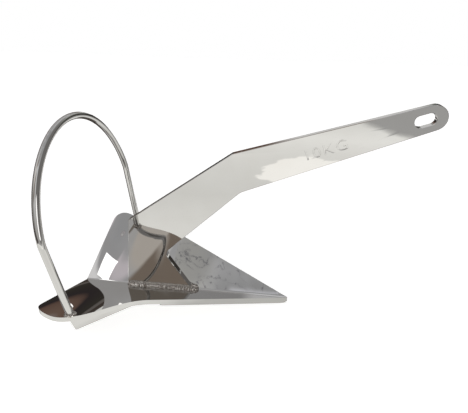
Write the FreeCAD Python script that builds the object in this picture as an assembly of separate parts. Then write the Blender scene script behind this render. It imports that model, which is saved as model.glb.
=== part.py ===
"""Roll-bar scoop anchor, 10 kg, welded from polished stainless plate and round bar.

Millimetres, +Z up, +X from the rear edge of the fluke to its tip, Y across, +Y to the left.
It is laid out with the rear edge of the fluke at X = 0 and the floor at Z = 0,
and moved at the end so that the origin is the bottom centre of the whole anchor.
"""
import FreeCAD, Part
import math
import os
from FreeCAD import Vector

# Fluke: one plate folded to a V along its centreline
plate = 8.0                  # plate thickness
fold_radius = 8.0            # inside radius of the fold
fluke_length = 393.5         # rear edge to the point where the front edges would meet
front_length = 227.0         # that point back to the station where the wings begin
front_half_width = 111.2     # half width at that station
wing_half_width = 198.5      # half width where side and rear edges would meet
wing_corner_radius = 28.5    # rounding of the wing ends
tip_radius = 2.0             # rounding of the point
front_slope = 25.0           # rise of each half of the V, forward of the wings, degrees
saddle_slope = 16.3          # the same at the roll bar, where the V is most open, degrees
rear_slope = 20.0            # the same at the rear edge, degrees

# Ballast: a second V plate under the point
ballast_plate = 3.0          # its thickness
ballast_length = 215.0       # from the point back to its rear end
ballast_inset = 1.0          # how far it stays inside the edges of the fluke
ballast_corner_radius = 6.0  # rounding of its two rear corners

# Shank: flat plate on the centreline, standing in the fold
shank_plate = 12.0           # plate thickness
heel_setback = 85.5          # rear edge of the fluke to the foot of the heel
heel_height = 139.7          # inside of the fold to the top of the heel
heel_rake = 5.3              # forward lean of the heel edge, degrees
heel_radius = 2.0            # rounding of the heel's top corner
foot_length = 127.3          # heel to toe along the fold
toe_rake = 56.4              # slope of the front edge of the foot, degrees
neck_reach = 76.2            # foot of the heel to the neck corner, along X
neck_height = 77.0           # inside of the fold to the neck corner
neck_radius = 15.0
leg_top_rise = 35.9          # rise of the upper edge from heel to bend, degrees
bend_reach = 185.2           # heel top to the bend of the upper edge, along X
bend_depth = 66.8            # upper bend down to the lower bend
bend_offset = 15.1           # lower bend forward of the upper one
bend_top_radius = 15.0
bend_bottom_radius = 28.5
arm_reach = 298.9            # upper bend to the centre of the rounded end, along X
arm_top_rise = 17.3          # rise of the upper edge along the arm, degrees
arm_bottom_rise = 22.7       # rise of the lower edge along the arm, degrees
edge_break = 0.8             # broken edge of the plate's outline

# Eye: oblong hole for the shackle, along the arm
eye_length = 31.5
eye_width = 18.0
eye_setback = 12.8           # centre of the rounded end back to the centre of the eye

# Roll bar: one round bar bent to a hoop
bar = 12.0                   # bar diameter
hoop_radius = 171.5          # centreline radius of the hoop
hoop_height = 103.6          # wing to the centre of the hoop, in its own plane
hoop_lean = 9.1              # rearward lean of its plane, degrees
foot_setback = 52.4          # rear edge of the fluke to the feet
foot_inset = 8.9             # side edge of the wing to the centre of each foot
leg_height = 128.3           # where the straight legs would meet the hoop
leg_bend_radius = 42.8       # bend between leg and hoop
leg_root = 4.0               # length of bar that is trimmed to the wing

# Skids: triangular plates under the wings, along the side edges
skid_plate = 8.0
skid_inset = 15.2            # outer face inside the side edge of the wing
skid_setback = 52.6          # rear edge of the fluke to the lower corner, along X
skid_clearance = 17.8        # underside of the fold up to the lower corner
skid_rise = 15.1             # rise of the lower edge towards the front, degrees
skid_rake = 73.0             # slope of the rear edge, degrees
skid_corner_radius = 3.0     # rounding of the lower corner

# Welds
shank_bead = 8.0             # radius of the bead beside the foot
bead_overrun = 4.0           # how far the bead runs on past the toe
foot_weld_width = 2.6        # width of the collar at each foot of the roll bar
foot_weld_height = 5.0
skid_weld_leg = 4.0          # leg of the fillet inside each skid
skid_weld_start = 12.0       # lower corner of the skid forward to its weld, along X
skid_weld_length = 66.0      # length of that weld, along X

# Worked out from the sizes above
UP = Vector(0, 0, 1)
RIGHT_ANGLE = 90.0                           # degrees
fold_bottom = ballast_plate                  # underside of the fold above the floor
fold_top = fold_bottom + plate               # inside of the fold
wing_start = fluke_length - front_length
side_angle = math.atan2(wing_half_width - front_half_width, wing_start)
front_angle = math.atan2(front_half_width, front_length)
arm_axis_rise = (arm_top_rise + arm_bottom_rise) / 2


def tan(degrees):
    return math.tan(math.radians(degrees))


def turned(length, degrees):
    """A vector in the XZ plane with this length and rise."""
    return Vector(length * math.cos(math.radians(degrees)), 0, length * math.sin(math.radians(degrees)))


def eased(low, high, share):
    return low + (high - low) * (1 - math.cos(math.pi * share)) / 2


def half_slope(x):
    """Slope of each half of the V at a distance from the rear edge, in radians."""
    if x >= wing_start:
        slope = front_slope
    elif x >= foot_setback:
        slope = eased(saddle_slope, front_slope, (x - foot_setback) / (wing_start - foot_setback))
    else:
        slope = eased(rear_slope, saddle_slope, x / foot_setback)
    return math.radians(slope)


def wing_height(x, y, below=0.0):
    """Height of the upper face of the fluke, or of a layer some way below it, beside the fold."""
    slope = half_slope(x)
    radius = fold_radius + below
    return fold_top + fold_radius - radius / math.cos(slope) + abs(y) * math.tan(slope)


def bent_section(x, bottom, radius, thickness, reach):
    """Closed V section with a rounded fold; radius is that of the inside of the fold."""
    slope = half_slope(x)
    outer = radius + thickness

    def fold_point(r, angle):
        return Vector(x, r * math.sin(angle), bottom + outer - r * math.cos(angle))

    def wing_end(r, side):
        start = fold_point(r, side * slope)
        return start + Vector(0, side, math.tan(slope)) * (reach - abs(start.y))

    def line(a, b):
        return Part.LineSegment(a, b).toShape()

    def fold(r, side):
        return Part.Arc(fold_point(r, -side * slope), fold_point(r, 0), fold_point(r, side * slope)).toShape()

    return Part.Wire([
        line(wing_end(radius, -1), fold_point(radius, -slope)),
        fold(radius, 1),
        line(fold_point(radius, slope), wing_end(radius, 1)),
        line(wing_end(radius, 1), wing_end(outer, 1)),
        line(wing_end(outer, 1), fold_point(outer, slope)),
        fold(outer, -1),
        line(fold_point(outer, -slope), wing_end(outer, -1)),
        line(wing_end(outer, -1), wing_end(radius, -1)),
    ])


def rounded_outline(corners):
    """Closed wire through corners (point, radius), with an arc at each that has a radius."""
    rounded = []
    for i, (point, radius) in enumerate(corners):
        back = (corners[i - 1][0] - point).normalize()
        ahead = (corners[(i + 1) % len(corners)][0] - point).normalize()
        half = back.getAngle(ahead) / 2
        bisector = (back + ahead).normalize()
        trim = radius / math.tan(half)
        crest = point + bisector * (radius / math.sin(half) - radius)
        rounded.append((point + back * trim, crest, point + ahead * trim, radius > 0))
    edges = []
    for i, (start, crest, end, has_arc) in enumerate(rounded):
        if has_arc:
            edges.append(Part.Arc(start, crest, end).toShape())
        following = rounded[(i + 1) % len(rounded)][0]
        edges.append(Part.LineSegment(end, following).toShape())
    return Part.Wire(edges)


def prism(wire, direction):
    return Part.Face(wire).extrude(direction)


def lowest(shape):
    """The solid that lies lowest, where a cut leaves several."""
    return min(shape.Solids, key=lambda solid: solid.CenterOfMass.z)


def highest(shape):
    return max(shape.Solids, key=lambda solid: solid.CenterOfMass.z)


def mirrored(shape):
    return shape.mirror(Vector(0, 0, 0), Vector(0, 1, 0))


def inside_side_edge(x, inset):
    """Distance from the centreline of a point some way inside the side edge of the wing."""
    return wing_half_width - x * math.tan(side_angle) - inset / math.cos(side_angle)


def fluke_prism():
    """All that lies within the fluke's outline as seen from above."""
    outline = rounded_outline([
        (Vector(0, -wing_half_width, 0), wing_corner_radius),
        (Vector(wing_start, -front_half_width, 0), 0),
        (Vector(fluke_length, 0, 0), tip_radius),
        (Vector(wing_start, front_half_width, 0), 0),
        (Vector(0, wing_half_width, 0), wing_corner_radius),
    ])
    return prism(outline, UP * (wing_height(0, wing_half_width) + wing_half_width))


def make_fluke():
    """Folded plate: twisted wings lofted through V sections, a straight V in front, and the outline cut."""
    reach = wing_half_width + plate

    def section(x):
        return bent_section(x, fold_bottom, fold_radius, plate, reach)

    stations = [foot_setback * share for share in (0.0, 0.5)]
    stations += [foot_setback + (wing_start - foot_setback) * share for share in (0.0, 0.33, 0.67, 1.0)]
    wings = Part.makeLoft([section(x) for x in stations], True, False)
    front = prism(section(wing_start), Vector(front_length, 0, 0))
    return wings.fuse(front).common(fluke_prism()).Solids[0]


def make_ballast(fluke):
    """V plate that nests against the underside of the point."""
    front = fluke_length - ballast_inset / math.sin(front_angle)
    rear = front - ballast_length
    overlap = plate / 2
    section = bent_section(rear, 0, fold_radius + overlap, ballast_plate + overlap, front_half_width)
    half_width = ballast_length * math.tan(front_angle)
    outline = rounded_outline([
        (Vector(rear, -half_width, 0), ballast_corner_radius),
        (Vector(front, 0, 0), tip_radius),
        (Vector(rear, half_width, 0), ballast_corner_radius),
    ])
    blank = prism(section, Vector(ballast_length, 0, 0)).common(prism(outline, UP * front_half_width))
    return lowest(blank.cut(fluke))


def heel_top():
    return Vector(heel_setback + heel_height * tan(heel_rake), 0, fold_top + heel_height)


def upper_bend():
    return heel_top() + Vector(bend_reach, 0, bend_reach * tan(leg_top_rise))


def lower_bend():
    return upper_bend() + Vector(bend_offset, 0, -bend_depth)


def arm_end():
    """Centre and radius of the rounded end, which both edges of the arm run into."""
    x = upper_bend().x + arm_reach
    top = upper_bend().z + arm_reach * tan(arm_top_rise)
    bottom = lower_bend().z + (x - lower_bend().x) * tan(arm_bottom_rise)
    above = 1 / math.cos(math.radians(arm_top_rise))
    below = 1 / math.cos(math.radians(arm_bottom_rise))
    radius = (top - bottom) / (above + below)
    return Vector(x, 0, top - radius * above), radius


def eye_centre():
    return arm_end()[0] - turned(eye_setback, arm_axis_rise)


def eye_outline():
    along = turned((eye_length - eye_width) / 2, arm_axis_rise)
    point = turned(eye_width / 2, arm_axis_rise)
    across = turned(eye_width / 2, arm_axis_rise + RIGHT_ANGLE)
    front, rear = (eye_centre() + along, eye_centre() - along)
    return Part.Wire([
        Part.LineSegment(rear + across, front + across).toShape(),
        Part.Arc(front + across, front + point, front - across).toShape(),
        Part.LineSegment(front - across, rear - across).toShape(),
        Part.Arc(rear - across, rear - point, rear + across).toShape(),
    ])


def make_shank(fluke):
    """Dog-leg plate with a rounded, pierced end; its foot follows the inside of the fold."""
    end, radius = arm_end()
    heel = Vector(heel_setback - fold_top * tan(heel_rake), 0, 0)
    neck = Vector(heel_setback + neck_reach, 0, fold_top + neck_height)
    toe = Vector(heel_setback + foot_length + fold_top / tan(toe_rake), 0, 0)
    body = rounded_outline([
        (heel, 0),
        (heel_top(), heel_radius),
        (upper_bend(), bend_top_radius),
        (end + turned(radius, arm_top_rise + RIGHT_ANGLE), 0),
        (end + turned(radius, arm_bottom_rise - RIGHT_ANGLE), 0),
        (lower_bend(), bend_bottom_radius),
        (neck, neck_radius),
        (toe, 0),
    ])
    width = Vector(0, shank_plate, 0)
    rounded_end = Part.makeCylinder(radius, shank_plate, end, width)
    solid = prism(body, width).fuse(rounded_end).removeSplitter().cut(prism(eye_outline(), width))
    solid.translate(width * -0.5)
    rims = [edge for edge in solid.Edges
            if edge.BoundBox.YLength < edge_break and edge.BoundBox.ZMax > fold_bottom]
    return highest(solid.makeChamfer(edge_break, rims).cut(fluke))


def hoop_point(point):
    """A point of the roll bar's leaning plane: across, and up the plane from its feet."""
    lean = math.radians(hoop_lean)
    base = wing_height(foot_setback, inside_side_edge(foot_setback, foot_inset))
    return Vector(foot_setback - point.y * math.sin(lean), point.x, base + point.y * math.cos(lean))


def hoop_path():
    """Straight legs, a bend at the top of each, and one arc over both."""
    centre = Vector(0, hoop_height, 0)
    foot = Vector(inside_side_edge(foot_setback, foot_inset), 0, 0)
    crossing = Vector(math.sqrt(hoop_radius ** 2 - (leg_height - hoop_height) ** 2), leg_height, 0)
    along = (crossing - foot).normalize()
    inward = Vector(-along.y, along.x, 0)
    # The bend's centre lies on a line beside the leg, and inside the hoop by the difference of radii
    start = foot + inward * leg_bend_radius - centre
    reach = start.dot(along)
    run = math.sqrt(reach ** 2 - start.dot(start) + (hoop_radius - leg_bend_radius) ** 2) - reach
    bend_centre = centre + start + along * run
    outward = (bend_centre - centre).normalize()
    root = foot - along * leg_root
    bend_start = foot + along * run
    bend_end = centre + outward * hoop_radius
    bend_crest = bend_centre + (outward - inward).normalize() * leg_bend_radius

    def left(point):
        return hoop_point(point)

    def right(point):
        return hoop_point(Vector(-point.x, point.y, 0))

    crown = hoop_point(centre + Vector(0, hoop_radius, 0))
    return Part.Wire([
        Part.LineSegment(right(root), right(bend_start)).toShape(),
        Part.Arc(right(bend_start), right(bend_crest), right(bend_end)).toShape(),
        Part.Arc(right(bend_end), crown, left(bend_end)).toShape(),
        Part.Arc(left(bend_end), left(bend_crest), left(bend_start)).toShape(),
        Part.LineSegment(left(bend_start), left(root)).toShape(),
    ])


def make_roll_bar(fluke):
    path = hoop_path()
    start = path.OrderedVertexes[0].Point
    direction = path.OrderedVertexes[1].Point - start
    profile = Part.Wire([Part.makeCircle(bar / 2, start, direction)])
    return highest(path.makePipeShell([profile], True, False).cut(fluke))


def make_foot_weld(fluke, roll_bar):
    """Tapered collar of weld round the left foot, narrow enough to stay on the wing."""
    path = hoop_path()
    root = path.OrderedVertexes[-1].Point
    direction = (path.OrderedVertexes[-2].Point - root).normalize()
    height = leg_root + foot_weld_height
    root_radius = bar / 2 + foot_weld_width * height / foot_weld_height
    collar = Part.makeCone(root_radius, bar / 2, height, root, direction)
    return highest(collar.cut(roll_bar).cut(fluke))


def skid_directions():
    """Along the left side edge of the wing, and square to it towards the centreline."""
    along = Vector(math.cos(side_angle), -math.sin(side_angle), 0)
    return along, Vector(-along.y, along.x, 0) * -1


def skid_point(x, inset):
    """A point below the left side edge, some way inside it, at Z = 0."""
    return Vector(x, inside_side_edge(x, inset), 0)


def make_skid(fluke):
    """Plate under the left wing, parallel to its side edge and trimmed by its underside."""
    along, inward = skid_directions()
    corner = skid_point(skid_setback, skid_inset) + UP * (fold_bottom + skid_clearance)
    rise = math.radians(skid_rise)
    rake = math.radians(skid_rake)
    reach = fluke_length / 2
    outline = rounded_outline([
        (corner - along * (reach * math.cos(rake)) + UP * (reach * math.sin(rake)), 0),
        (corner, skid_corner_radius),
        (corner + along * (reach * math.cos(rise)) + UP * (reach * math.sin(rise)), 0),
    ])
    return lowest(prism(outline, inward * skid_plate).cut(fluke))


def make_skid_weld(fluke, skid):
    """Fillet of weld along the inside of the left skid, under the wing."""
    ends = []
    for x in (skid_setback + skid_weld_start, skid_setback + skid_weld_start + skid_weld_length):
        point = skid_point(x, skid_inset + skid_plate)
        ends.append(point + UP * wing_height(x, point.y, plate))
    run = ends[1] - ends[0]
    return lowest(Part.makeCylinder(skid_weld_leg, run.Length, ends[0], run).cut(fluke).cut(skid))


def make_shank_weld(fluke, shank):
    """Round bead along the left side of the foot, trimmed to both plates."""
    side = shank_plate / 2
    ends = []
    for x in (heel_setback, heel_setback + foot_length + bead_overrun):
        ends.append(Vector(x, side, wing_height(x, side)))
    run = ends[1] - ends[0]
    bead = Part.makeCylinder(shank_bead, run.Length, ends[0], run)
    left_half = Part.makeBox(run.Length * 2, shank_bead * 2, shank_bead * 4,
                             Vector(heel_setback - run.Length / 2, 0, ends[0].z - shank_bead * 2))
    return highest(bead.common(left_half).cut(shank).cut(fluke))


def make_pieces():
    fluke = make_fluke()
    shank = make_shank(fluke)
    roll_bar = make_roll_bar(fluke)
    skid = make_skid(fluke)
    foot_weld = make_foot_weld(fluke, roll_bar)
    shank_weld = make_shank_weld(fluke, shank)
    skid_weld = make_skid_weld(fluke, skid)
    return {
        "fluke": fluke,
        "tip_ballast": make_ballast(fluke),
        "shank": shank,
        "roll_bar": roll_bar,
        "skid_left": skid,
        "skid_right": mirrored(skid),
        "shank_weld_left": shank_weld,
        "shank_weld_right": mirrored(shank_weld),
        "roll_bar_weld_left": foot_weld,
        "roll_bar_weld_right": mirrored(foot_weld),
        "skid_weld_left": skid_weld,
        "skid_weld_right": mirrored(skid_weld),
    }


pieces = make_pieces()
front_end = arm_end()[0].x + arm_end()[1]
to_centre = Vector(-front_end / 2, 0, 0)
os.makedirs("parts", exist_ok=True)
for name, solid in pieces.items():
    solid.translate(to_centre)
    box = solid.optimalBoundingBox(False)
    print(f"{name}: {solid.Volume:.0f} mm3, {len(solid.Faces)} faces, valid {solid.isValid()}, "
          f"X {box.XMin:.1f} to {box.XMax:.1f}, Y {box.YMin:.1f} to {box.YMax:.1f}, "
          f"Z {box.ZMin:.1f} to {box.ZMax:.1f}")
    solid.exportStep(f"parts/{name}.step")
eye = eye_centre() + to_centre
print(f"eye centre X {eye.x:.2f} Z {eye.z:.2f}, moved by {to_centre.x:.2f}, arm end radius {arm_end()[1]:.2f}")
print(f"solid volume {sum(solid.Volume for solid in pieces.values()):.0f} mm3")
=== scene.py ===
# %% [markdown]
# # A polished stainless scoop anchor
#
# The real anchor is welded from four kinds of stock: thick plate for the folded fluke, the shank and
# the skids, a thinner V plate under the point, one round bar bent to a hoop, and weld metal that joins
# them. Everything is then polished to a mirror. A mirror shows its surroundings and every small fault
# of its form, so the lesson is about two things: smooth meshes, and something worth reflecting.
#
# The CAD solids are the frame. They have the right size and place, but their meshes are flat triangles,
# which a mirror would show as facets. Each piece is therefore made again here with smooth faces.

# %% The frame and a few units
import math

import bmesh
import bpy
from mathutils import Matrix, Vector


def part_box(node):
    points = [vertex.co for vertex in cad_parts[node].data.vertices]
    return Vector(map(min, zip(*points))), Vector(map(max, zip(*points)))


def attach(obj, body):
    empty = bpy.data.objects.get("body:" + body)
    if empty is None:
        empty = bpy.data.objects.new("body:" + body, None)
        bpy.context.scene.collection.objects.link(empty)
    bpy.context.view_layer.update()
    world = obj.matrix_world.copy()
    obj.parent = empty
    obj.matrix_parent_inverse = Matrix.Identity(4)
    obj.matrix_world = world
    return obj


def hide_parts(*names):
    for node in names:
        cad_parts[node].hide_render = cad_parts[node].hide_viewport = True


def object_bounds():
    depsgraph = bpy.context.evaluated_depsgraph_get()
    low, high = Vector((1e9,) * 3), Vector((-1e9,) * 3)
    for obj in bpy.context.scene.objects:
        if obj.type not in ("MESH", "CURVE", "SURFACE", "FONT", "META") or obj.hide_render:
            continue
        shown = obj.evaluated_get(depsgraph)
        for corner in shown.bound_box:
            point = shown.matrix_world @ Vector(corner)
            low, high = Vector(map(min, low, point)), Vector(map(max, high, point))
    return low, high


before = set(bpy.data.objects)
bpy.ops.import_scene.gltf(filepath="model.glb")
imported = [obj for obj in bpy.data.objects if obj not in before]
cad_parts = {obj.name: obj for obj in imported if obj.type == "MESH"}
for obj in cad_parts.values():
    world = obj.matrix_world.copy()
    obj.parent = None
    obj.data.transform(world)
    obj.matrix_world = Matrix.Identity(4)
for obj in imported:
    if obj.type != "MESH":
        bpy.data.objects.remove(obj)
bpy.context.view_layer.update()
MM = 0.001
low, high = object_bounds()
print("CAD box in mm:", [round(side / MM, 1) for side in (high - low)])


def deg(angle):
    return math.radians(angle)


# %% [markdown]
# ## Colours, nodes and pieces
#
# Colours are written as sRGB hex, as a paint card gives them, and one function turns them to the linear
# values that Blender's nodes expect. Another adds a node, sets its inputs and links it, and it is the
# only way in which nodes are made here.

# %% Colours and nodes
def linear(code):
    """An sRGB hex colour as linear RGBA."""
    channels = [int(code[i:i + 2], 16) / 255 for i in (1, 3, 5)]
    return [c / 12.92 if c <= 0.04045 else ((c + 0.055) / 1.055) ** 2.4 for c in channels] + [1.0]


def add(tree, kind, settings=None, stops=(), **inputs):
    """Adds a node. An input is a value, or an output socket of another node to link.

    A colour ramp also takes its stops, each a position and a hex colour.
    """
    node = tree.nodes.new(kind)
    for name, value in (settings or {}).items():
        setattr(node, name, value)
    for i, (position, code) in enumerate(stops):
        stop = node.color_ramp.elements[i] if i < 2 else node.color_ramp.elements.new(position)
        stop.position = position
        stop.color = linear(code)
    for name, value in inputs.items():
        key = int(name[1:]) if name[1:].isdigit() else name.replace("_", " ")
        if isinstance(value, bpy.types.NodeSocket):
            tree.links.new(value, node.inputs[key])
        else:
            node.inputs[key].default_value = value
    return node


def new_material(name):
    material = bpy.data.materials.new(name)
    material.use_nodes = True
    material.node_tree.nodes.clear()
    return material, material.node_tree


print("sRGB #808080 in linear light:", round(linear("#808080")[0], 3))

# %% [markdown]
# A finished bmesh becomes an object that rides on the anchor's one body. Every face is shaded smooth, but
# each edge that turns more than a few degrees is marked as sharp: in a mirror, a flat face whose normals
# lean towards its bevels shows a bent room, so each face keeps its own normals up to its bevel.

# %% From bmesh to piece
SHARP = deg(24)
SAME_POINT = 1e-6        # metres; points closer than this are one


def only(geometry, kind):
    """The vertices or the edges in the mixed result of an operator."""
    return [part for part in geometry if isinstance(part, kind)]


def make_piece(bm, name, material, slot, *nodes, sharp=SHARP):
    """Turns a bmesh into an object that stands for CAD nodes and takes the given finish; the slot is not
    used.
    """
    bmesh.ops.remove_doubles(bm, verts=bm.verts, dist=SAME_POINT)
    bmesh.ops.recalc_face_normals(bm, faces=bm.faces)
    for face in bm.faces:
        face.smooth = True
    for edge in bm.edges:
        edge.smooth = len(edge.link_faces) == 2 and edge.calc_face_angle(0) < sharp
    mesh = bpy.data.meshes.new(name)
    bm.to_mesh(mesh)
    bm.free()
    mesh.materials.append(material)
    piece = bpy.data.objects.new(name, mesh)
    bpy.context.scene.collection.objects.link(piece)
    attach(piece, "root")
    if nodes:
        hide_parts(*nodes)
    print(f"{name}: {len(mesh.polygons)} faces")
    return piece


# %% [markdown]
# ## The metal
#
# 316 stainless steel, ground and then buffed on soft wheels. To the eye it is a mirror with a grey of
# its own: it gives back about six tenths of the light, a little warmer than it came, so what is mirrored
# twice or three times, as in the corner between shank and wing, turns darker and browner. Buffing by hand
# leaves the surface gently wavy, at the scale of a finger's width, so straight lines in it wander, and
# it leaves a faint haze of fine lines. The waves are bump and the haze is roughness, both from noise. The
# bar comes evenly round from the mill, so its waves are shallower, but it is left a little hazier.

# %% Mirror-polished plate and bar
WAVE = 38 * MM            # distance between two gentle waves of hand buffing
PLATE_WAVE_DEPTH, BAR_WAVE_DEPTH = 0.05 * MM, 0.01 * MM
HAZE = 2.5 * MM           # patches of finer and coarser buffing, drawn coarse enough to show
HAZE_SPREAD = 0.4         # share by which the roughness differs between the patches
PLATE_ROUGHNESS, BAR_ROUGHNESS = 0.025, 0.05


def polished_steel(name, wave_depth, roughness):
    material, tree = new_material(name)
    place = add(tree, "ShaderNodeTexCoord").outputs["Object"]
    waves = add(tree, "ShaderNodeTexNoise", Vector=place, Scale=1 / WAVE, Detail=1.0, Roughness=0.4)
    bump = add(tree, "ShaderNodeBump", Height=waves.outputs["Fac"], Strength=1.0, Distance=wave_depth)
    haze = add(tree, "ShaderNodeTexNoise", Vector=place, Scale=1 / HAZE, Detail=2.0)
    spread = add(tree, "ShaderNodeMapRange", Value=haze.outputs["Fac"],
                 To_Min=roughness * (1 - HAZE_SPREAD), To_Max=roughness * (1 + HAZE_SPREAD))
    tone = add(tree, "ShaderNodeMix", {"data_type": "RGBA"}, Factor=waves.outputs["Fac"],
               i6=linear("#CDCBC8"), i7=linear("#D2D1CF"))
    steel = add(tree, "ShaderNodeBsdfPrincipled", Base_Color=tone.outputs[2], Metallic=1.0,
                Roughness=spread.outputs["Result"], Normal=bump.outputs["Normal"])
    add(tree, "ShaderNodeOutputMaterial", Surface=steel.outputs["BSDF"])
    return material


plate_steel = polished_steel("mirror polished stainless plate", PLATE_WAVE_DEPTH, PLATE_ROUGHNESS)
bar_steel = polished_steel("mirror polished stainless bar", BAR_WAVE_DEPTH, BAR_ROUGHNESS)
SLOT_PLATE = "polished_stainless"
print("finishes:", plate_steel.name, "and", bar_steel.name)

# %% [markdown]
# Weld metal isn't ground, only washed bright in acid. It is the same steel, but its skin is a crust of
# fine dimples with brown heat colour left in the hollows. The hollows are darkened further as painted
# shade, and the dimples' tops are painted paler than the plate, a painted highlight that brightens their
# glints, so it is dark with many small glints. The dimples are between one and two millimetres across.
# The ripples themselves are modelled.

# %% Bright-dipped weld metal
DIMPLE = 1.7 * MM
DIMPLE_DEPTH = 0.4 * MM
WELD_ROUGHNESS = 0.16


def dipped_weld():
    material, tree = new_material("acid bright-dipped weld metal")
    place = add(tree, "ShaderNodeTexCoord").outputs["Object"]
    dimples = add(tree, "ShaderNodeTexNoise", Vector=place, Scale=1 / DIMPLE, Detail=2.0, Roughness=0.6)
    bump = add(tree, "ShaderNodeBump", Height=dimples.outputs["Fac"], Strength=1.0, Distance=DIMPLE_DEPTH)
    # painted shade and highlight: low dimples get dark brown heat colour darkened as shade, tops a pale
    # steel brighter than the plate
    heat_colour_and_shade = add(tree, "ShaderNodeMapRange", Value=dimples.outputs["Fac"], From_Min=0.42, From_Max=0.62)
    tone = add(tree, "ShaderNodeMix", {"data_type": "RGBA"}, Factor=heat_colour_and_shade.outputs["Result"],
               i6=linear("#7C7168"), i7=linear("#F2EFEA"))
    steel = add(tree, "ShaderNodeBsdfPrincipled", Base_Color=tone.outputs[2], Metallic=1.0,
                Roughness=WELD_ROUGHNESS, Normal=bump.outputs["Normal"])
    add(tree, "ShaderNodeOutputMaterial", Surface=steel.outputs["BSDF"])
    return material


weld_steel = dipped_weld()
SLOT_WELD = "weld_bead"
print("finish:", weld_steel.name)

# %% [markdown]
# ## The form of the fluke
#
# The fluke is one plate with a sharp fold along its middle. At the point each half rises at 25 degrees.
# Behind that the halves flatten to 16 degrees under the roll bar, and rise again at the rear edge.
# Lengths are measured along the anchor from the rear edge, as the CAD measures them.

# %% Sizes of the fluke
PLATE = 8 * MM
FOLD_RADIUS = 8 * MM              # inside the fold
BALLAST_PLATE = 3 * MM            # the plate under the point
FLUKE_LENGTH = 393.5 * MM
FRONT_LENGTH = 227 * MM           # of the triangle in front of the wings
FRONT_HALF_WIDTH = 111.2 * MM     # at the triangle's rear
WING_HALF_WIDTH = 198.5 * MM      # at the rear edge, before its corner is rounded
WING_CORNER_RADIUS = 28.5 * MM
FOOT_SETBACK = 52.4 * MM          # of the roll bar's feet
FRONT_SLOPE, SADDLE_SLOPE, REAR_SLOPE = deg(25), deg(16.3), deg(20)
WING_START = FLUKE_LENGTH - FRONT_LENGTH
SIDE_ANGLE = math.atan2(WING_HALF_WIDTH - FRONT_HALF_WIDTH, WING_START)
REAR_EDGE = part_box("fluke")[0].x
FOLD_TOP = BALLAST_PLATE + PLATE
print("the wings splay", round(math.degrees(SIDE_ANGLE), 1), "degrees towards the rear")

# %% [markdown]
# Everything that sits on the plate needs its height, so the form is one function of x and y, used from
# here on. Between two slopes the plate eases over along half a cosine wave, as bent plate does. Across
# the fold its section is an arc, and beyond the arc a straight line.

# %% The height of the plate at any point
def half_slope(x):
    """Slope of each half of the V at a distance from the rear edge."""
    if x >= WING_START:
        return FRONT_SLOPE
    if x >= FOOT_SETBACK:
        share, start, end = (x - FOOT_SETBACK) / (WING_START - FOOT_SETBACK), SADDLE_SLOPE, FRONT_SLOPE
    else:
        share, start, end = max(x, 0) / FOOT_SETBACK, REAR_SLOPE, SADDLE_SLOPE
    return start + (end - start) * (1 - math.cos(math.pi * share)) / 2


def fluke_height(x, y, below=0.0):
    """Height of the upper face, or of a layer some way below it, fold included."""
    slope = half_slope(x)
    radius = FOLD_RADIUS + below
    centre = FOLD_TOP + FOLD_RADIUS
    if abs(y) < radius * math.sin(slope):
        return centre - math.sqrt(radius ** 2 - y ** 2)
    return centre - radius / math.cos(slope) + abs(y) * math.tan(slope)


def on_fluke(x, y, lift=0.0):
    """A point of the world above the layout's x and y, raised from the upper face."""
    return Vector((REAR_EDGE + x, y, fluke_height(x, y) + lift))


wing_tip_rise = fluke_height(0, WING_HALF_WIDTH) - fluke_height(0, 0)
print("rise from the fold to the rear corners:", round(wing_tip_rise / MM, 1), "mm")

# %% [markdown]
# ## The outline of the fluke
#
# Seen from above, half the fluke is a long triangle in front and a wing behind it, whose rear corner is
# rounded off. The ballast plate has a corner of the same kind, so the rounding is a function of its own.

# %% Half widths
def rounded_rear(x, half_width, angle, radius):
    """Half width of a plate at a distance from its rear edge, with its rear corner rounded."""
    if x < radius * (1 + math.sin(angle)):
        centre = half_width - radius / math.tan((math.pi / 2 - angle) / 2)
        return centre + math.sqrt(max(radius ** 2 - (x - radius) ** 2, 0))
    return half_width - x * math.tan(angle)


def fluke_half_width(x):
    if x >= WING_START:
        return (FLUKE_LENGTH - x) * FRONT_HALF_WIDTH / FRONT_LENGTH
    return rounded_rear(x, WING_HALF_WIDTH, SIDE_ANGLE, WING_CORNER_RADIUS)


widest = max(fluke_half_width(x * MM) for x in range(0, 200))
print("width of the fluke:", round(2 * widest / MM, 1), "mm")

# %% [markdown]
# ## The fluke
#
# A folded plate could be a flat mesh with a bend modifier, but this one is twisted as well as folded.
# It is easier to draw it flat, as the plate maker would, and then lift every point to the height that
# the formula gives. A dense grid is needed, because it is the mesh that carries the curve. The grid's
# rows are squeezed to the outline, so the edge is a clean row of points and not a staircase. Extruding
# all faces at once gives the plate its thickness, and its rim gets a small bevel that catches light.

# %% A folded plate
RIM_BREAK = 0.8 * MM
RIM_TURN = deg(50)       # only the rim's edges turn more than this
FINE_SHARP = deg(8)      # less than the first turn of a bevel in three steps, more than the fold's steps
TIP_CUT = 2.4 * MM       # what the rounded point loses
TIP_MERGE = 0.01 * MM    # points closer than this are one, near the tip
COLUMNS = 130            # cells along the plate
ROWS = 88                # cells across it
FOLD_SHARE = 0.35        # of the rows lie in the fold
FOLD_HALF = 9 * MM       # half the width that these rows cover


def spread_rows(share, half_width):
    """Places a row between the middle and the edge, with a third of the rows in the fold."""
    fold_half = min(FOLD_HALF, half_width / 2)
    size = abs(share)
    if size < FOLD_SHARE:
        y = fold_half * size / FOLD_SHARE
    else:
        y = fold_half + (half_width - fold_half) * (size - FOLD_SHARE) / (1 - FOLD_SHARE)
    return math.copysign(y, share)


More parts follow.
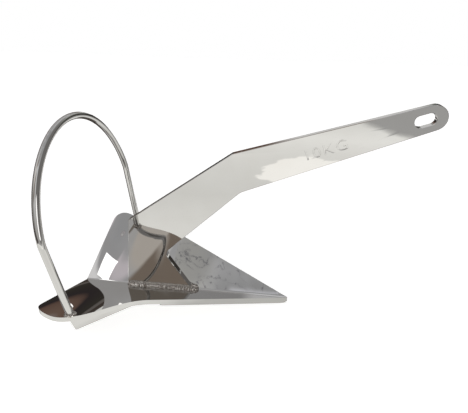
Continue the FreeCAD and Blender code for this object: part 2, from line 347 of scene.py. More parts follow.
def folded_plate(start, end, half_width, top, thickness):
    """A V plate from start to end, its upper face a layer some way below the fluke's own."""
    bm = bmesh.new()
    bmesh.ops.create_grid(bm, x_segments=COLUMNS, y_segments=ROWS, size=1.0)
    for v in bm.verts:
        along_share = ((v.co.x + 1) / 2) ** 2     # squared, so that columns crowd at the rounded rear
        x = start + (end - start) * along_share
        v.co = (x, spread_rows(v.co.y, half_width(x)), 0)
    lower = bmesh.ops.extrude_face_region(bm, geom=bm.faces[:])
    below = set(only(lower["geom"], bmesh.types.BMVert))
    for v in bm.verts:
        layer = top + thickness if v in below else top
        v.co = (REAR_EDGE + v.co.x, v.co.y, fluke_height(v.co.x, v.co.y, layer))
    bmesh.ops.remove_doubles(bm, verts=bm.verts, dist=TIP_MERGE)
    rim = [e for e in bm.edges if len(e.link_faces) == 2 and e.calc_face_angle(0) > RIM_TURN]
    bmesh.ops.bevel(bm, geom=rim, offset=RIM_BREAK, segments=3, profile=0.5, affect="EDGES",
                    clamp_overlap=True, material=-1)
    return bm


make_piece(folded_plate(0, FLUKE_LENGTH - TIP_CUT, fluke_half_width, 0, PLATE),
           "folded_fluke", plate_steel, SLOT_PLATE, "fluke", sharp=FINE_SHARP)

# %% [markdown]
# ## The ballast plate
#
# An anchor has to land point first, so a second V plate of 3 mm doubles the point from below. It nests
# against the fluke's underside and stops just inside its edge, where the photo shows a fine line.

# %% The same V, a plate lower
BALLAST_LENGTH = 215 * MM
BALLAST_INSET = 1 * MM            # inside the fluke's front edges
BALLAST_CORNER = 6 * MM
FRONT_ANGLE = math.atan2(FRONT_HALF_WIDTH, FRONT_LENGTH)
ballast_front = FLUKE_LENGTH - BALLAST_INSET / math.sin(FRONT_ANGLE)
ballast_rear = ballast_front - BALLAST_LENGTH


def ballast_half_width(x):
    return rounded_rear(x - ballast_rear, BALLAST_LENGTH * math.tan(FRONT_ANGLE), FRONT_ANGLE,
                        BALLAST_CORNER)


ballast_mesh = folded_plate(ballast_rear, ballast_front - TIP_CUT, ballast_half_width, PLATE,
                            BALLAST_PLATE)
make_piece(ballast_mesh, "point_ballast", plate_steel, SLOT_PLATE, "tip_ballast", sharp=FINE_SHARP)

# %% [markdown]
# ## Flat plates from the CAD
#
# The shank and the skids are flat plates, cut out and broken at the edges. Their CAD meshes already
# have the true outline, so here a copy is enough: its loose triangles are merged, and edges that turn
# sharply are marked like those of any piece. Long thin triangles have unsure normals, so a Weighted
# Normal modifier lets the largest face at each corner decide. The skids are made first.

# %% Copies of the skids
def merged_copy(node):
    """The node's mesh with its triangles joined."""
    bm = bmesh.new()
    bm.from_mesh(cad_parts[node].data)
    bmesh.ops.remove_doubles(bm, verts=bm.verts, dist=2 * SAME_POINT)
    return bm


def weight_normals(piece):
    modifier = piece.modifiers.new("flat faces", "WEIGHTED_NORMAL")
    modifier.keep_sharp = True
    modifier.weight = 100


for side in ("left", "right"):
    skid = make_piece(merged_copy(f"skid_{side}"), f"skid_plate_{side}", plate_steel, SLOT_PLATE,
                      f"skid_{side}")
    weight_normals(skid)

# %% [markdown]
# The weight mark is punched 0.7 mm into the plate. A punch is a small solid with sloping sides, and it
# can be made from a text curve: its flat letters are extruded to stand out of the plate, and the faces
# on the other side are inset and pushed in, which gives the slope. A Boolean then takes the punch out of
# the plate. A text curve's own bevel would be shorter, but it overlaps itself in the corners of thin
# letters, and a Boolean can't tell inside from outside there. Only the plain weight stands there.

# %% A punch made from a text curve
MARK_HEIGHT = 17 * MM
MARK_WIDTH = 65 * MM
MARK_DEPTH = 0.7 * MM
MARK_SLOPE = 0.3 * MM    # how far the grooves' sides come in at their depth
PUNCH_STANDOFF = 2 * MM  # how far the punch stands out of the plate
LETTER_STEPS = 5         # steps in each piece of a letter's curve
LETTER_SPACING = 1.15    # of the font's own


def punch(text):
    """The text as a closed solid on the XY plane, its cutting side down, from x = 0."""
    curve = bpy.data.curves.new("punch", "FONT")
    curve.body = text
    curve.resolution_u = LETTER_STEPS
    curve.space_character = LETTER_SPACING
    holder = bpy.data.objects.new("punch", curve)
    flat = bpy.data.meshes.new_from_object(holder)
    bpy.data.objects.remove(holder)
    xs = [v.co.x for v in flat.vertices]
    ys = [v.co.y for v in flat.vertices]
    fit = Matrix.Diagonal((MARK_WIDTH / (max(xs) - min(xs)), MARK_HEIGHT / (max(ys) - min(ys)), 1, 1))
    flat.transform(fit @ Matrix.Translation((-min(xs), -min(ys), 0)))
    bm = bmesh.new()
    bm.from_mesh(flat)
    bmesh.ops.remove_doubles(bm, verts=bm.verts, dist=SAME_POINT)
    letters = bm.faces[:]
    raised = bmesh.ops.extrude_face_region(bm, geom=letters, use_keep_orig=True)
    bmesh.ops.translate(bm, verts=only(raised["geom"], bmesh.types.BMVert), vec=(0, 0, PUNCH_STANDOFF))
    bmesh.ops.recalc_face_normals(bm, faces=bm.faces)
    bmesh.ops.inset_region(bm, faces=letters, thickness=MARK_SLOPE, depth=MARK_DEPTH)
    bm.to_mesh(flat)
    bm.free()
    return flat


mark_mesh = punch("10KG")
print("punch:", len(mark_mesh.polygons), "faces")

# %% [markdown]
# The mark stands on the right side of the shank, below the eye, and rises with the arm. A Boolean
# modifier takes the punch out of the plate, and its result then becomes the shank's own mesh, so that
# the punch can go. The cut makes new edges, so sharp ones are marked again before normals are weighted.

# %% The shank and its stamped weight
MARK_START = Vector((REAR_EDGE + 404.5 * MM, 0, 281.5 * MM))   # foot of the first figure
MARK_RISE = deg(20.5)
shank = make_piece(merged_copy("shank"), "shank_plate", plate_steel, SLOT_PLATE, "shank")
near_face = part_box("shank")[0].y
upright = Matrix.Rotation(-MARK_RISE, 4, "Y") @ Matrix.Rotation(deg(90), 4, "X")
mark_mesh.transform(Matrix.Translation((MARK_START.x, near_face, MARK_START.z)) @ upright)
mark = bpy.data.objects.new("punch", mark_mesh)
bpy.context.scene.collection.objects.link(mark)
cut = shank.modifiers.new("stamped weight", "BOOLEAN")
cut.object = mark
cut.solver = "EXACT"
bpy.context.view_layer.update()
stamped = bpy.data.meshes.new_from_object(shank.evaluated_get(bpy.context.evaluated_depsgraph_get()))
shank.modifiers.clear()
shank.data = stamped
stamped.name = "shank_plate"
bpy.data.objects.remove(mark)
stamped.set_sharp_from_angle(angle=SHARP)
weight_normals(shank)
print("stamped shank:", len(stamped.polygons), "faces")

# %% [markdown]
# ## The roll bar
#
# The maker bends it from one straight round bar: a wide hoop, a tight bend on each side, and two straight
# legs that lean in towards the wings. It is drawn first as a line, in a plane of its own with the middle
# of the feet at its origin. The sizes give the hoop, the tight bend's radius and where the leg would
# meet the hoop. The bend's centre is then the point that is one radius from the leg and touches the hoop.

# %% The line of the bar
BAR = 12 * MM
HOOP_RADIUS = 171.5 * MM
HOOP_HEIGHT = 103.6 * MM          # of the hoop's centre over the feet
HOOP_LEAN = deg(9.1)              # backwards
FOOT_INSET = 8.9 * MM             # from the side edge of the wing to the middle of a foot
FOOT_HALF_SPAN = WING_HALF_WIDTH - FOOT_SETBACK * math.tan(SIDE_ANGLE) - FOOT_INSET / math.cos(SIDE_ANGLE)
LEG_HEIGHT = 128.3 * MM           # where a leg's line crosses the hoop
LEG_BEND_RADIUS = 42.8 * MM

centre = Vector((0, HOOP_HEIGHT, 0))
foot = Vector((FOOT_HALF_SPAN, 0, 0))
crossing = Vector((math.sqrt(HOOP_RADIUS ** 2 - (LEG_HEIGHT - HOOP_HEIGHT) ** 2), LEG_HEIGHT, 0))
along = (crossing - foot).normalized()
inward = Vector((-along.y, along.x, 0))
start = foot + inward * LEG_BEND_RADIUS - centre
reach = start.dot(along)
run = math.sqrt(reach ** 2 - start.length_squared + (HOOP_RADIUS - LEG_BEND_RADIUS) ** 2) - reach
bend_centre = centre + start + along * run
outward = (bend_centre - centre).normalized()
hoop_turn = outward.angle(Vector((0, 1, 0)))
leg_turn = outward.angle(-inward)
print("roll bar: leg", round(run / MM, 1), "mm, tight bend", round(math.degrees(leg_turn), 1), "degrees")

# %% [markdown]
# A bent bar is a circle swept along arcs and straight runs, which is what the spin tool does. The ring
# starts at the crown, spins down the hoop, spins again round the tight bend above the leg and is then
# drawn out along the leg, a few millimetres into the wing. A mirror makes the other half, and a matrix
# stands the hoop up on the wings, leaning back.

# %% One round bar, bent
LEG_ROOT = 4 * MM        # how far a leg goes into the wing
RING_STEPS = 40          # cells round the bar
HOOP_STEPS = 72          # from the crown to the tight bend
BEND_STEPS = 12          # round the tight bend
MIDDLE_MERGE = 0.01 * MM
lean_sin, lean_cos = math.sin(HOOP_LEAN), math.cos(HOOP_LEAN)
stand_up = Matrix(((0, -lean_sin, lean_cos, REAR_EDGE + FOOT_SETBACK),
                   (1, 0, 0, 0),
                   (0, lean_cos, lean_sin, fluke_height(FOOT_SETBACK, FOOT_HALF_SPAN)),
                   (0, 0, 0, 1)))
bm = bmesh.new()
ring = Matrix.Translation(centre + Vector((0, HOOP_RADIUS, 0))) @ Matrix.Rotation(deg(90), 4, "Y")
bmesh.ops.create_circle(bm, segments=RING_STEPS, radius=BAR / 2, matrix=ring)
spun = bmesh.ops.spin(bm, geom=bm.verts[:] + bm.edges[:], cent=centre, axis=(0, 0, 1),
                      angle=-hoop_turn, steps=HOOP_STEPS)
spun = bmesh.ops.spin(bm, geom=spun["geom_last"], cent=bend_centre, axis=(0, 0, 1),
                      angle=-leg_turn, steps=BEND_STEPS)
drawn = bmesh.ops.extrude_edge_only(bm, edges=only(spun["geom_last"], bmesh.types.BMEdge))
bmesh.ops.translate(bm, verts=only(drawn["geom"], bmesh.types.BMVert), vec=-along * (run + LEG_ROOT))
leg_end = [edge for edge in only(drawn["geom"], bmesh.types.BMEdge) if len(edge.link_faces) == 1]
bmesh.ops.contextual_create(bm, geom=leg_end)
bmesh.ops.mirror(bm, geom=bm.verts[:] + bm.edges[:] + bm.faces[:], axis="X", merge_dist=MIDDLE_MERGE)
bmesh.ops.transform(bm, matrix=stand_up, verts=bm.verts)
make_piece(bm, "bent_roll_bar", bar_steel, SLOT_PLATE, "roll_bar")

# %% [markdown]
# ## Weld beads
#
# A hand weld is a row of overlapping pools, each frozen with a curved front edge. From above it looks
# like a fallen row of coins. A bead is made as a tube along a path: a grid wrapped round it, whose
# radius swells once per pool, with the swelling set back at the sides so that the fronts are curved.
# The ends of an open bead are rounded. The same function makes the bead round the foot of the shank, the
# collars of the roll bar and the fillets of the skids.

# %% A rippled bead along a path
POOL_STEPS = 8            # cells along one pool
BEAD_ROUND_STEPS = 20     # cells round the bead
FRONT_CURVE = 0.35        # by how much of a pool the fronts are set back at the sides
UNEVEN = 0.25             # share of a ripple by which the pools differ
QUICK_SWAY, SLOW_SWAY = 17.3, 3.1    # two waves that never fall in step with the pools
LOOK_AHEAD = 0.5 * MM     # the path's direction is read over this distance


def bead(path, length, radius, pitch, ripple, closed=False):
    """path(s) and radius(s) give the bead's centre and size at a distance along it."""
    steps = max(2 * POOL_STEPS, round(length / pitch) * POOL_STEPS)
    bm = bmesh.new()
    bmesh.ops.create_grid(bm, x_segments=steps, y_segments=BEAD_ROUND_STEPS, size=1.0)
    for v in bm.verts:
        s = (v.co.x + 1) / 2 * length
        angle = v.co.y * math.pi
        here = path(s)
        tangent = (path(s + LOOK_AHEAD) - here).normalized()
        side_way = tangent.cross(Vector((0, 0, 1))).normalized()
        rise = side_way.cross(tangent)
        pool = (s / pitch - FRONT_CURVE * math.cos(angle)) % 1.0
        swell = radius(s) - ripple * (2 * pool - 1) ** 4
        swell += UNEVEN * ripple * math.sin(QUICK_SWAY * s / pitch) * math.sin(SLOW_SWAY * s / pitch)
        if not closed:
            end = min(s, length - s) / radius(s)
            swell *= math.sqrt(max(1 - (1 - min(end, 1.0)) ** 2, 0.0))
        v.co = here + (side_way * math.sin(angle) + rise * math.cos(angle)) * swell
    return bm


# %% [markdown]
# The shank's bead runs along one side of the foot, round the toe and back along the other side. The
# welder moves faster round the toe, so the bead is thinner there.

# %% The bead round the foot of the shank
SHANK_PLATE = 12 * MM
HEEL_SETBACK = 85.5 * MM                     # of the rear end of the shank's foot
FOOT_LENGTH = 127.3 * MM
SHANK_BEAD, TOE_BEAD = 8 * MM, 4.5 * MM      # its radius along the sides and round the toe
TOE_TAPER = 10 * MM                          # the distance in which it thins
SHANK_PITCH, SHANK_RIPPLE = 3.6 * MM, 1.0 * MM
half_turn = math.pi * SHANK_PLATE / 2
run_length = 2 * FOOT_LENGTH + half_turn


def shank_bead_radius(s):
    to_toe = abs(s - run_length / 2) - half_turn / 2
    share = min(max(to_toe / TOE_TAPER, 0), 1)
    return TOE_BEAD + (SHANK_BEAD - TOE_BEAD) * share


def round_the_foot(s):
    """Centre of the bead at a distance from the right side of the heel."""
    toe = HEEL_SETBACK + FOOT_LENGTH
    if s < FOOT_LENGTH:
        x, y = HEEL_SETBACK + s, -SHANK_PLATE / 2
    elif s < FOOT_LENGTH + half_turn:
        angle = (s - FOOT_LENGTH) / half_turn * math.pi
        x, y = toe + SHANK_PLATE / 2 * math.sin(angle), -SHANK_PLATE / 2 * math.cos(angle)
    else:
        x, y = toe - (s - FOOT_LENGTH - half_turn), SHANK_PLATE / 2
    return on_fluke(x, y)


make_piece(bead(round_the_foot, run_length, shank_bead_radius, SHANK_PITCH, SHANK_RIPPLE),
           "shank_weld_bead", weld_steel, SLOT_WELD, "shank_weld_left", "shank_weld_right")

# %% [markdown]
# Each foot of the roll bar stands on the wing in a collar of weld. It is the same bead, closed to a ring
# and a little thinner, because the bar is thinner than the shank.

# %% Collars at the feet of the roll bar
COLLAR_BEAD = 2.8 * MM                # the bead's own radius
COLLAR_RADIUS = BAR / 2 + 0.8 * MM    # of the ring that it runs round
COLLAR_LIFT = 0.6 * MM                # the middle of the bead lies this high above the wing
COLLAR_PITCH, COLLAR_RIPPLE = 3.05 * MM, 0.5 * MM
for name, side in (("left", 1), ("right", -1)):
    def round_the_bar(s):
        angle = s / COLLAR_RADIUS
        x = FOOT_SETBACK + COLLAR_RADIUS * math.cos(angle)
        y = side * FOOT_HALF_SPAN + COLLAR_RADIUS * math.sin(angle)
        return on_fluke(x, y, COLLAR_LIFT)

    collar = bead(round_the_bar, 2 * math.pi * COLLAR_RADIUS, lambda s: COLLAR_BEAD, COLLAR_PITCH,
                  COLLAR_RIPPLE, closed=True)
    make_piece(collar, f"roll_bar_collar_{name}", weld_steel, SLOT_WELD, f"roll_bar_weld_{name}")

# %% [markdown]
# The skids are welded to the wing on their inner sides, where the welder could reach and the seam doesn't
# show. A straight bead lies along each, half sunk into the corner.

# %% Fillets inside the skids
SKID_BEAD = 4 * MM
SKID_END, SKID_SIDE = 1.5 * MM, 3 * MM      # the path's distances from the CAD bead's box
SKID_PITCH, SKID_RIPPLE = 4 * MM, 0.4 * MM
for name, side in (("left", 1), ("right", -1)):
    box_low, box_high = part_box(f"skid_weld_{name}")
    outer = max(abs(box_low.y), abs(box_high.y)) - SKID_SIDE
    inner = min(abs(box_low.y), abs(box_high.y)) + SKID_SIDE
    rear_point = Vector((box_low.x + SKID_END, side * outer, 0))
    front_point = Vector((box_high.x - SKID_END, side * inner, 0))
    length = (front_point - rear_point).length

    def under_the_wing(s):
        point = rear_point.lerp(front_point, s / length)
        return Vector((point.x, point.y, fluke_height(point.x - REAR_EDGE, point.y, PLATE)))

    fillet = bead(under_the_wing, length, lambda s: SKID_BEAD, SKID_PITCH, SKID_RIPPLE)
    make_piece(fillet, f"skid_fillet_{name}", weld_steel, SLOT_WELD, f"skid_weld_{name}")

# %% [markdown]
# ## The camera
#
# The photo was taken from the right of the anchor, a little above it, with a normal lens. The camera's
# place and turn come from fitting the anchor's corners to the photo. The turn is built from a yaw, a
# pitch and a small roll, because that is how a photographer holds a camera.

# %% The photographer's place
CAMERA_PLACE = Vector((0.06874, -0.66678, 0.50087))
LENS, SENSOR = 33.19, 36       # millimetres
yaw, pitch, roll = deg(6.996), deg(24.866), deg(1.118)
level = Vector((math.cos(yaw), math.sin(yaw), 0))
ahead = Vector((-math.sin(yaw) * math.cos(pitch), math.cos(yaw) * math.cos(pitch), -math.sin(pitch)))
over = level.cross(ahead)
right = level * math.cos(roll) + over * math.sin(roll)
up = over * math.cos(roll) - level * math.sin(roll)
turn = Matrix((right, up, -ahead)).transposed().to_4x4()
camera_data = bpy.data.cameras.new("camera")
camera_data.lens = LENS
camera_data.sensor_width = SENSOR
camera = bpy.data.objects.new("camera", camera_data)
bpy.context.scene.collection.objects.link(camera)
camera.matrix_world = Matrix.Translation(CAMERA_PLACE) @ turn
bpy.context.scene.camera = camera
print("camera:", round(CAMERA_PLACE.length, 2), "m from the middle of the anchor")

# %% [markdown]
# ## The room in the mirror
#
# A mirror has no look of its own, so the room has to be made as well as the anchor. The camera sees only
# white, but reflected rays see a room. The wall behind the anchor is nearly black at the height of the
# table, brown above that on the left, and grey higher up. The wall on the photographer's side is pale
# all the way. It could be built from boxes, but here it is painted on the world by direction, so that
# each reflection can be moved without moving the others. The world's Generated coordinates are the
# direction of a ray, so its Z is the sine of the height above the horizon, and a ramp along Z paints a
# wall from the table up.

# %% Walls, painted from the table up
MIX_COLOURS = {"data_type": "RGBA"}               # this Mix node's result is its output 2
SMOOTH = {"interpolation_type": "SMOOTHSTEP"}     # a Map Range without corners at its ends
world = bpy.data.worlds.new("room")
bpy.context.scene.world = world
world.use_nodes = True
tree = world.node_tree
tree.nodes.clear()
looking = add(tree, "ShaderNodeTexCoord").outputs["Generated"]
X, Y, Z = add(tree, "ShaderNodeSeparateXYZ", Vector=looking).outputs
front_stops = ((0.0, "#BCBAB8"), (0.3, "#C8C8C8"), (0.6, "#DEDEDF"), (1.0, "#E2E3E6"))
left_stops = ((0.0, "#37342F"), (0.14, "#322D2E"), (0.19, "#665249"), (0.28, "#735F54"),
              (0.36, "#B2B1B1"), (0.68, "#C2C2C4"), (0.86, "#AFAFB1"), (1.0, "#A9AAAD"))
right_stops = ((0.0, "#37342F"), (0.14, "#3A3836"), (0.24, "#6E716A"), (0.45, "#A4A5A3"),
               (1.0, "#A9AAAD"))
front_wall = add(tree, "ShaderNodeValToRGB", stops=front_stops, Fac=Z).outputs["Color"]
back_left = add(tree, "ShaderNodeValToRGB", stops=left_stops, Fac=Z).outputs["Color"]
back_right = add(tree, "ShaderNodeValToRGB", stops=right_stops, Fac=Z).outputs["Color"]
rightward = add(tree, "ShaderNodeMapRange", SMOOTH, Value=X, From_Min=-0.12, From_Max=0.0)
backward = add(tree, "ShaderNodeMapRange", SMOOTH, Value=Y, From_Min=-0.25, From_Max=0.3)
back_wall = add(tree, "ShaderNodeMix", MIX_COLOURS, i0=rightward.outputs[0], i6=back_left, i7=back_right)
walls = add(tree, "ShaderNodeMix", MIX_COLOURS, i0=backward.outputs[0], i6=front_wall,
            i7=back_wall.outputs[2]).outputs[2]
print("room with walls:", len(tree.nodes), "nodes")

# %% [markdown]
# The flat point of the fluke mirrors the ceiling, straight overhead. It has soft clouds of lighter and
# darker grey, as a cloth or a sheet of plastic has, and they are a little paler on the left.

# %% A clouded ceiling
overhead = add(tree, "ShaderNodeMapRange", SMOOTH, Value=Z, From_Min=0.94, From_Max=0.97).outputs[0]
leftward = add(tree, "ShaderNodeMapRange", SMOOTH, Value=X, From_Min=-0.12, From_Max=-0.2).outputs[0]
clouds = add(tree, "ShaderNodeTexNoise", Vector=looking, Scale=10.0, Detail=2.0).outputs["Fac"]
cloud = add(tree, "ShaderNodeMapRange", SMOOTH, Value=clouds, From_Min=0.35, From_Max=0.65).outputs[0]
darker = add(tree, "ShaderNodeMix", MIX_COLOURS, i0=leftward, i6=linear("#A6A7A9"), i7=linear("#B2B2B0"))
lighter = add(tree, "ShaderNodeMix", MIX_COLOURS, i0=leftward, i6=linear("#BFC0C3"), i7=linear("#CBCBC8"))
cloudy = add(tree, "ShaderNodeMix", MIX_COLOURS, i0=cloud, i6=darker.outputs[2], i7=lighter.outputs[2])
ceiling = add(tree, "ShaderNodeMix", MIX_COLOURS, i0=overhead, i6=walls, i7=cloudy.outputs[2]).outputs[2]
print("and with a ceiling:", len(tree.nodes), "nodes")

# %% [markdown]
# Thin dark cables hang across the ceiling. They could be curves, but a noise draws many at once: they are
# the lines where it passes through one half. A second noise breaks them, so that they start and end. A
# coarse set gives long cables and a fine set gives short ones.

# %% Cables
MULTIPLY = {"operation": "MULTIPLY"}
CABLES = ((17.0, 1.2, 0.014), (34.0, 0.5, 0.02))     # fineness, waviness and thickness of each set
for fineness, waviness, thickness in CABLES:
    field = add(tree, "ShaderNodeTexNoise", Vector=looking, Scale=fineness, Detail=3.0,
                Distortion=waviness).outputs["Fac"]
    from_half = add(tree, "ShaderNodeMath", {"operation": "SUBTRACT"}, i0=field, i1=0.5).outputs[0]
    distance = add(tree, "ShaderNodeMath", {"operation": "ABSOLUTE"}, i0=from_half).outputs[0]
    line = add(tree, "ShaderNodeMapRange", SMOOTH, Value=distance, From_Min=thickness * 0.2,
               From_Max=thickness, To_Min=1.0, To_Max=0.0).outputs[0]
    breaks = add(tree, "ShaderNodeTexNoise", Vector=looking, Scale=fineness * 0.8, Detail=0.0,
                 Distortion=waviness).outputs["Fac"]
    there = add(tree, "ShaderNodeMapRange", SMOOTH, Value=breaks, From_Min=0.46, From_Max=0.56).outputs[0]
    cable = add(tree, "ShaderNodeMath", MULTIPLY, i0=line, i1=there).outputs[0]
    shows = add(tree, "ShaderNodeMath", MULTIPLY, i0=cable, i1=overhead).outputs[0]
    ceiling = add(tree, "ShaderNodeMix", MIX_COLOURS, i0=shows, i6=ceiling, i7=linear("#6E6D73")).outputs[2]
print("and with", len(CABLES), "sets of cables:", len(tree.nodes), "nodes")

# %% [markdown]
# The rest of the room is a list of things on its walls. Each is a range of X, Y and Z with soft borders,
# and where a border has to lean, its range is measured along a slant. The wall in front has a warm lit
# part on the left. A brown beam darkens the foot of the shank, where the wing mirrors it, and a lintel
# darkens the corner under the weld bead. The two side walls draw the dark lines along the roll bar.

# %% Beam, lintel and side walls
MULTIPLY_ADD = {"operation": "MULTIPLY_ADD"}


def within(tree, *ranges, soft=0.02):
    """A mask that is 1 where each (value, from, to) holds, with soft borders."""
    mask = 1.0
    for value, start, end in ranges:
        rising = add(tree, "ShaderNodeMapRange", SMOOTH, Value=value, From_Min=start - soft,
                     From_Max=start + soft).outputs[0]
        falling = add(tree, "ShaderNodeMapRange", SMOOTH, Value=value, From_Min=end - soft,
                      From_Max=end + soft, To_Min=1.0, To_Max=0.0).outputs[0]
        both = add(tree, "ShaderNodeMath", MULTIPLY, i0=rising, i1=falling).outputs[0]
        mask = add(tree, "ShaderNodeMath", MULTIPLY, i0=mask, i1=both).outputs[0]
    return mask


beam_slant = add(tree, "ShaderNodeMath", MULTIPLY_ADD, i0=X, i1=-0.9, i2=Y).outputs[0]
lintel_slant = add(tree, "ShaderNodeMath", MULTIPLY_ADD, i0=X, i1=-0.36, i2=Y).outputs[0]
lit_wall = within(tree, (X, -0.66, -0.42), (Y, -0.5, -0.2), (Z, 0.6, 0.9), soft=0.04)
beam = within(tree, (X, -0.56, -0.18), (Y, -0.305, -0.04), (beam_slant, -1.0, 0.19), (Z, 0.55, 1.1))
lintel = within(tree, (X, -0.6, -0.08), (lintel_slant, -0.7, -0.352), (Z, 0.5, 1.1), soft=0.01)
left_wall = within(tree, (X, -1.1, -0.58), (Y, -1.1, -0.04), (Z, -0.1, 0.5))
right_wall = within(tree, (X, 0.36, 1.1), (Y, -1.1, 0.76), (Z, -0.02, 0.95), soft=0.08)
room = ceiling
for mask, colour in ((lit_wall, "#EFE9E3"), (beam, "#9F9287"), (lintel, "#968F88"), (left_wall, "#949290"),
                     (right_wall, "#807E7D")):
    room = add(tree, "ShaderNodeMix", MIX_COLOURS, i0=mask, i6=room, i7=linear(colour)).outputs[2]
print("and with beam, lintel and side walls:", len(tree.nodes), "nodes")

# %% [markdown]
# Five pale things put the soft lights on the metal: a strip of the far wall along the upper edge of the
# shank's arm, a lilac glow beside the white streak on the left wing, a white one at that wing's rear
# edge, a thin line along the fold at the point, and a broad band on the near half of the point.

# %% Lights on the walls
strip_slant = add(tree, "ShaderNodeMath", MULTIPLY_ADD, i0=X, i1=-0.8, i2=Z).outputs[0]
arm_strip = within(tree, (X, -0.3, 0.36), (Y, 0.8, 1.1), (strip_slant, 0.2, 0.355))
lilac_glow = within(tree, (X, -0.42, -0.28), (Y, 0.33, 0.385), (Z, 0.8, 0.9))
rear_glow = within(tree, (X, -0.45, -0.35), (Y, 0.19, 0.27), (Z, 0.5, 1.1), soft=0.03)
fold_line = within(tree, (X, -0.105, 0.08), (Y, 0.05, 0.072), (Z, 0.9, 1.1), soft=0.007)
near_band = within(tree, (X, -0.065, 0.05), (Y, 0.42, 0.9), (Z, 0.5, 0.91))
for mask, colour in ((arm_strip, "#DEDEDD"), (lilac_glow, "#D6D0D6"), (rear_glow, "#F4F4F6"),
                     (fold_line, "#E0E1E8"), (near_band, "#E6E7EB")):
    room = add(tree, "ShaderNodeMix", MIX_COLOURS, i0=mask, i6=room, i7=linear(colour)).outputs[2]
print("and with lights:", len(tree.nodes), "nodes")

# %% [markdown]
# A window on the right is brighter than white, and draws the white line between the dark ones on the
# bar. Light Path's Is Camera Ray then hides all of this from the camera, which sees plain white.

# %% The window, and white for the camera
WINDOW_GAIN = 0.8        # how much brighter than white the window is
window = within(tree, (X, 0.5, 0.82), (Y, -0.9, -0.42), (Z, 0.04, 0.62), soft=0.01)
room = add(tree, "ShaderNodeMix", MIX_COLOURS, i0=window, i6=room, i7=linear("#FFFFFF")).outputs[2]
brightness = add(tree, "ShaderNodeMath", MULTIPLY_ADD, i0=window, i1=WINDOW_GAIN, i2=1.0).outputs[0]
by_camera = add(tree, "ShaderNodeLightPath").outputs["Is Camera Ray"]
shown = add(tree, "ShaderNodeMix", MIX_COLOURS, i0=by_camera, i6=room, i7=linear("#FFFFFF")).outputs[2]
sky = add(tree, "ShaderNodeBackground", Color=shown, Strength=brightness)
add(tree, "ShaderNodeOutputWorld", Surface=sky.outputs["Background"])
print("finished room:", len(tree.nodes), "nodes")

# %% [markdown]
# ## The table top
#
# The anchor stands on a white table top. It is one flat square, so large that its borders are far
# outside the picture.

# %% A sheet for the table top
TABLE_HALF = 4.0         # half the side of the sheet, in metres
bm = bmesh.new()
bmesh.ops.create_grid(bm, x_segments=1, y_segments=1, size=TABLE_HALF)
floor_mesh = bpy.data.meshes.new("floor")
bm.to_mesh(floor_mesh)
bm.free()
floor = bpy.data.objects.new("floor", floor_mesh)
bpy.context.scene.collection.objects.link(floor)
print("table top:", 2 * TABLE_HALF, "m square")

# %% [markdown]
# A mirror shows all of the table, so it is painted for reflected rays. From front to back it runs
# through bands of grey and white, darker where the anchor shades it. Behind the anchor it ends: a dark
# floor follows, which draws the thin dark line along the shank's top edge, and then a paler one. Noise
# makes the borders of the bands ragged.

# %% Bands from front to back
TABLE_FRONT, TABLE_BACK = -2.0, 1.6     # the ramp's ends, in metres in front of the anchor and behind it
RIPPLE = 90 * MM                        # distance between two waves of the ragged borders
RAGGED = 0.12                           # by how many metres they wander


def along_y(y):
    """Place on the ramp of a distance in metres, negative in front of the anchor."""
    return (y - TABLE_FRONT) / (TABLE_BACK - TABLE_FRONT)


BANDS = ((0.0, "#A5A5A5"), (along_y(-1.7), "#B4B4B3"), (along_y(-1.5), "#D6D6D3"),
         (along_y(-1.15), "#E4E4E1"), (along_y(-0.9), "#D8D8D5"), (along_y(-0.5), "#CECECB"),
         (along_y(-0.28), "#D8D8D5"), (along_y(-0.19), "#DBDBD8"), (along_y(-0.13), "#B6B6B3"),
         (along_y(0.1), "#B4B4B1"), (along_y(0.3), "#D0D0CE"), (along_y(0.9), "#D0D0CE"),
         (along_y(1.0), "#4E4A48"), (along_y(1.4), "#464241"), (1.0, "#C4C4C2"))

floor_material, tree = new_material("white table top")
place = add(tree, "ShaderNodeTexCoord").outputs["Object"]
table_x, table_y, _ = add(tree, "ShaderNodeSeparateXYZ", Vector=place).outputs
ripple = add(tree, "ShaderNodeTexNoise", Vector=place, Scale=1 / RIPPLE, Detail=2.5).outputs["Fac"]
wavy_y = add(tree, "ShaderNodeMath", MULTIPLY_ADD, i0=ripple, i1=RAGGED, i2=table_y).outputs[0]
position = add(tree, "ShaderNodeMapRange", Value=wavy_y, From_Min=TABLE_FRONT + RAGGED / 2,
               From_Max=TABLE_BACK + RAGGED / 2).outputs[0]
bands = add(tree, "ShaderNodeValToRGB", stops=BANDS, Fac=position).outputs["Color"]
print("bands:", len(BANDS), "colours")

# %% [markdown]
# In front of the anchor lies a brighter round patch, as crumpled paper has. It is a distance from its
# middle, made ragged by the same noise.

# %% Crumpled paper
PAPER_X, PAPER_Y = 0.15, -0.74      # its middle, in metres
PAPER_SIZE = 0.17                   # about half its width
PAPER_RAGGED = 1.2                  # how much the noise moves its border, in sizes
scaled_place = add(tree, "ShaderNodeVectorMath", MULTIPLY_ADD, i0=place,
                   i1=(1 / PAPER_SIZE, 1 / PAPER_SIZE, 0),
                   i2=(-PAPER_X / PAPER_SIZE, -PAPER_Y / PAPER_SIZE, 0)).outputs[0]
from_middle = add(tree, "ShaderNodeVectorMath", {"operation": "LENGTH"}, i0=scaled_place).outputs["Value"]
ragged = add(tree, "ShaderNodeMath", MULTIPLY_ADD, i0=ripple, i1=PAPER_RAGGED, i2=from_middle).outputs[0]
paper = add(tree, "ShaderNodeMapRange", SMOOTH, Value=ragged, From_Min=1.48, From_Max=1.6, To_Min=1.0,
            To_Max=0.0).outputs[0]
table = add(tree, "ShaderNodeMix", MIX_COLOURS, i0=paper, i6=bands, i7=linear("#F4F3EF")).outputs[2]
print("paper: about", round(2 * PAPER_SIZE / MM), "mm wide")
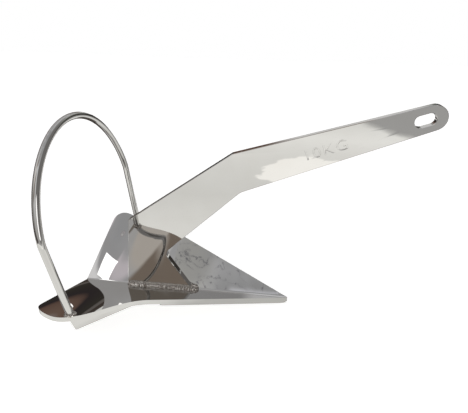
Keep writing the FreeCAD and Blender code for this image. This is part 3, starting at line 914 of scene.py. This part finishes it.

# %% [markdown]
# The table is dimmer far out on the right, where the end of the shank and the bar mirror it, and on the
# right of the anchor. Past its left edge and behind it on the left it is dark. A dark patch is painted
# there too, and its mirror image blackens the edge of the near wing.

# %% Dim parts, dark edges and a dark patch
end_slant = add(tree, "ShaderNodeMath", MULTIPLY_ADD, i0=wavy_y, i1=-0.7, i2=table_x).outputs[0]
case_slant = add(tree, "ShaderNodeMath", MULTIPLY_ADD, i0=table_x, i1=-0.4, i2=table_y).outputs[0]
dim_end = within(tree, (end_slant, 1.42, 20.0), (wavy_y, -9.0, -0.9), soft=0.06)
dim_right = within(tree, (table_x, 0.35, 9.0), (wavy_y, -0.3, 9.0), soft=0.05)
left_edge = within(tree, (table_x, -9.0, -0.82))
far_left = within(tree, (table_x, -9.0, -0.3), (table_y, 0.4, 1.6))
# a dark patch painted behind the anchor on the left; the near wing's edge mirrors it
case = within(tree, (table_x, -0.76, -0.1), (case_slant, 0.32, 9.0), (table_y, 0.0, 0.48))
for mask, colour in ((dim_end, "#9B9B9A"), (dim_right, "#8C8C8B"), (left_edge, "#4A4644"),
                     (far_left, "#524E4B"), (case, "#38322E")):
    table = add(tree, "ShaderNodeMix", MIX_COLOURS, i0=mask, i6=table, i7=linear(colour)).outputs[2]
print("painted table top:", len(tree.nodes), "nodes")

# %% [markdown]
# The table top has two looks. To the camera and to soft light it is matt white paint, lifted by a faint
# glow so that it is plain white and still keeps the anchor's shadow. Light Path's Is Glossy Ray swaps in
# the painted look for mirrors. From below the sheet is clear, so that the anchor can be looked at from
# there as well.

# %% Two looks, and nothing from below
TABLE_LIFT = 0.62        # the glow, where 1 is white
TABLE_GAIN = 1.5         # brightness of the painted look's white
paint = add(tree, "ShaderNodeBsdfDiffuse", Color=linear("#FFFFFF"))
lift = add(tree, "ShaderNodeEmission", Color=linear("#FFFFFF"), Strength=TABLE_LIFT)
plain = add(tree, "ShaderNodeAddShader", i0=paint.outputs[0], i1=lift.outputs[0])
mirrored = add(tree, "ShaderNodeEmission", Color=table, Strength=TABLE_GAIN)
by_mirror = add(tree, "ShaderNodeLightPath").outputs["Is Glossy Ray"]
top = add(tree, "ShaderNodeMixShader", i0=by_mirror, i1=plain.outputs[0], i2=mirrored.outputs[0])
back_side = add(tree, "ShaderNodeNewGeometry").outputs["Backfacing"]
clear = add(tree, "ShaderNodeBsdfTransparent")
sheet = add(tree, "ShaderNodeMixShader", i0=back_side, i1=top.outputs[0], i2=clear.outputs[0])
add(tree, "ShaderNodeOutputMaterial", Surface=sheet.outputs[0])
floor_mesh.materials.append(floor_material)
print("material:", floor_material.name)

# %% [markdown]
# ## The lamp
#
# One short strip light hangs a hand's width over the left wing, at its rear edge. Its mirror image is the
# white streak on the wing, so its place, size and turn were worked out backwards, by following the lines
# of sight from the streak off the wing. The camera itself doesn't see the lamp.

# %% The strip light
STRIP_PLACE = Vector((-0.2961, 0.0543, 0.090))
STRIP_LONG, STRIP_WIDE, STRIP_TURN = 0.052, 0.023, deg(71.9)
STRIP_RADIANCE = 1.7     # just enough to be white after two thirds of it are mirrored
lamp_data = bpy.data.lights.new("strip light", "AREA")
lamp_data.shape = "RECTANGLE"
lamp_data.size = STRIP_LONG
lamp_data.size_y = STRIP_WIDE
lamp_data.energy = STRIP_RADIANCE * math.pi * STRIP_LONG * STRIP_WIDE
lamp = bpy.data.objects.new("strip light", lamp_data)
bpy.context.scene.collection.objects.link(lamp)
lamp.matrix_world = Matrix.Translation(STRIP_PLACE) @ Matrix.Rotation(STRIP_TURN, 4, "Z")
lamp.visible_camera = False
bpy.context.scene.view_settings.view_transform = "Standard"
print("strip light:", round(lamp_data.energy * 1000, 2), "mW")
